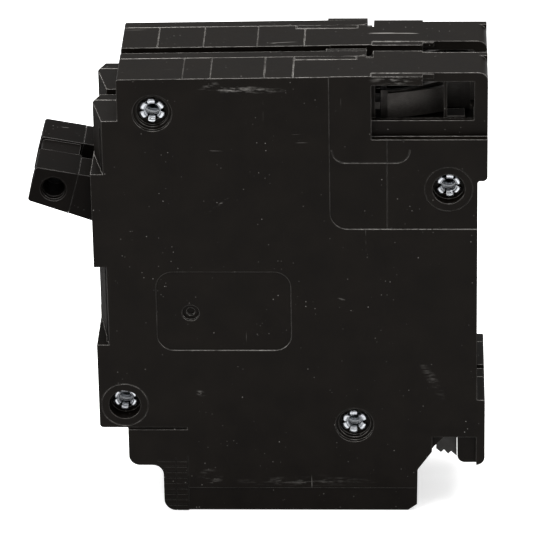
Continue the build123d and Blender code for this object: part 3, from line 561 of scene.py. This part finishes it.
def curled_petals(bm, centre, seat):
    """Tube end split into petals that are rolled outwards onto their seat."""
    for petal in range(PETALS):
        middle = math.tau * (petal + 0.5) / PETALS + 0.13 * math.sin(5.1 * petal + centre[0])
        rows = []
        for (radius, offset), half in zip(PETAL_PATH, PETAL_HALF_ANGLES):
            rows += petal_row(bm, centre, seat, middle, radius, offset, half)
        for i in range(0, len(rows) - 2, 2):
            for k in range(4):
                bm.faces.new((rows[i][k], rows[i][k + 1], rows[i + 2][k + 1], rows[i + 2][k]))
                bm.faces.new((rows[i + 1][k], rows[i + 3][k], rows[i + 3][k + 1], rows[i + 1][k + 1]))
            for k in (0, 4):
                bm.faces.new((rows[i][k], rows[i + 2][k], rows[i + 3][k], rows[i + 1][k]))
        for i in (0, len(rows) - 2):
            for k in range(4):
                bm.faces.new((rows[i][k], rows[i][k + 1], rows[i + 1][k + 1], rows[i + 1][k]))


def tubular_rivets():
    """Four rivets: six rolled petals at the near end, a domed head at the far end."""
    bm = bmesh.new()
    for low, high in islands("case_rivets"):
        centre = ((low[0] + high[0]) / 2, (low[2] + high[2]) / 2)
        seat = low[1] + SEAT_HEIGHT
        head = high[1] - HEAD_HEIGHT
        bore, outside = TUBE_RADII
        lathe(bm, [(bore, seat + 0.3), (outside, seat + 0.3), (outside, head), (bore, head)], centre)
        dome = [(0.0001, head + 0.75), (0.9, head + 0.72), (1.7, head + 0.55)]
        dome += [(2.25, head + 0.25), (2.38, head), (0.0001, head)]
        lathe(bm, dome, centre)
        curled_petals(bm, centre, seat)
    piece = mesh_piece("tubular_rivets", bm, "rivet_zinc")
    smooth = piece.modifiers.new("rolled", "SUBSURF")
    smooth.levels = smooth.render_levels = 1
    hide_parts("case_rivets")


def coil_spring(name, node, axis, wire, turns):
    """Round wire wound about an axis (0 is X, 2 is Z), with closed ends, in the CAD solid's box."""
    low, high = (Vector(corner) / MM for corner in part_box(node))
    middle = (low + high) / 2
    other = [i for i in range(3) if i != axis]
    radius = (high[other[0]] - low[other[0]]) / 2 - wire / 2
    bm = bmesh.new()
    steps = turns * COIL_STEPS
    rings = []
    for step in range(steps + 1):
        share = step / steps
        run = min(1.0, max(0.0, (share * turns - 1.0) / (turns - 2.0)))
        angle = math.tau * turns * share
        first_turn = wire * (0.5 + min(share * turns, 1.0))
        along = low[axis] + first_turn + run * (high[axis] - low[axis] - wire * 3.0)
        along += wire * max(0.0, share * turns - (turns - 1.0))
        ring = []
        for side in range(WIRE_SIDES):
            phase = math.tau * side / WIRE_SIDES
            reach = radius + wire / 2 * math.cos(phase)
            spot = [0.0, 0.0, 0.0]
            spot[axis] = along + wire / 2 * math.sin(phase)
            spot[other[0]] = middle[other[0]] + reach * math.cos(angle)
            spot[other[1]] = middle[other[1]] + reach * math.sin(angle)
            ring.append(bm.verts.new(point(*spot)))
        rings.append(ring)
    for ring, following in zip(rings, rings[1:]):
        for i in range(WIRE_SIDES):
            j = (i + 1) % WIRE_SIDES
            bm.faces.new((ring[i], ring[j], following[j], following[i]))
    bm.faces.new(rings[0])
    bm.faces.new(rings[-1])
    piece = mesh_piece(name, bm, "spring_steel")
    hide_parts(node)
    return piece


def button_coil():
    """The test button's spring, given its own copy of its mesh."""
    coil = coil_spring("button_coil", "button_spring", 0, BUTTON_WIRE, BUTTON_TURNS)
    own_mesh(coil)


tubular_rivets()
for pole in "ab":
    coil_spring(f"arm_coil_{pole}", f"arm_spring_{pole}", 2, ARM_WIRE, ARM_TURNS)
button_coil()


# ---------------------------------------------------------------- stage


def add_floor():
    """Matt white floor, with most of its shadow washed out for the camera."""
    data = bpy.data.meshes.new("floor")
    half = FLOOR_SIZE / 2
    corners = [(-half, -half, 0), (half, -half, 0), (half, half, 0), (-half, half, 0)]
    data.from_pydata(corners, [], [(0, 1, 2, 3)])
    plane = bpy.data.objects.new("floor", data)
    plane.location = (0, 0, -FLOOR_DROP)
    bpy.context.scene.collection.objects.link(plane)
    paint = bpy.data.materials.new("floor")
    paint.use_nodes = True
    tree = paint.node_tree
    shader = tree.nodes["Principled BSDF"]
    shader.inputs["Base Color"].default_value = (FLOOR_GREY, FLOOR_GREY, FLOOR_GREY, 1.0)
    shader.inputs["Roughness"].default_value = 0.9
    shader.inputs["Emission Color"].default_value = (1.0, 1.0, 1.0, 1.0)
    path = tree.nodes.new("ShaderNodeLightPath")
    fill = tree.nodes.new("ShaderNodeMath")
    fill.operation = "MULTIPLY"
    fill.inputs[1].default_value = SHADOW_FILL
    tree.links.new(path.outputs["Is Camera Ray"], fill.inputs[0])
    tree.links.new(fill.outputs[0], shader.inputs["Emission Strength"])
    data.materials.append(paint)


def soft_light(name, location, target, size, power):
    """Square area lamp, aimed from its location at a target."""
    lamp = bpy.data.lights.new(name, "AREA")
    lamp.shape = "SQUARE"
    lamp.size = size
    lamp.energy = power
    holder = bpy.data.objects.new(name, lamp)
    bpy.context.scene.collection.objects.link(holder)
    holder.location = location
    aim = Vector(target) - Vector(location)
    holder.rotation_mode = "QUATERNION"
    holder.rotation_quaternion = aim.to_track_quat("-Z", "Y")


add_floor()
world = bpy.data.worlds.new("studio")
bpy.context.scene.world = world
world.use_nodes = True
world.node_tree.nodes["Background"].inputs["Color"].default_value = (1.0, 1.0, 1.0, 1.0)
world.node_tree.nodes["Background"].inputs["Strength"].default_value = WORLD_LIGHT
bpy.context.scene.view_settings.view_transform = "Standard"
soft_light("overhead", (0.0, 0.25, 1.1), (0, 0.1, 0.0), 1.4, 22.0)
soft_light("key", (-0.35, -0.35, 0.55), (0, 0, 0.04), 0.35, 1.5)


# ---------------------------------------------------------------- camera


def add_camera():
    """Long lens, looking down on the near side from a little towards the bus side."""
    yaw, pitch, roll = (math.radians(v) for v in CAMERA_TURN)
    level = math.cos(pitch)
    ahead = Vector((-math.sin(yaw) * level, math.cos(yaw) * level, -math.sin(pitch)))
    right = ahead.cross(Vector((0, 0, 1))).normalized()
    up = right.cross(ahead)
    tilted = right * math.cos(roll) + up * math.sin(roll)
    upward = up * math.cos(roll) - right * math.sin(roll)
    data = bpy.data.cameras.new("camera")
    data.sensor_width = 36.0
    data.lens = LENS
    data.clip_start = 0.05
    data.clip_end = 20.0
    camera = bpy.data.objects.new("camera", data)
    bpy.context.scene.collection.objects.link(camera)
    camera.matrix_world = Matrix((tilted, upward, -ahead)).transposed().to_4x4()
    camera.location = CAMERA_PLACE
    bpy.context.scene.camera = camera


add_camera()
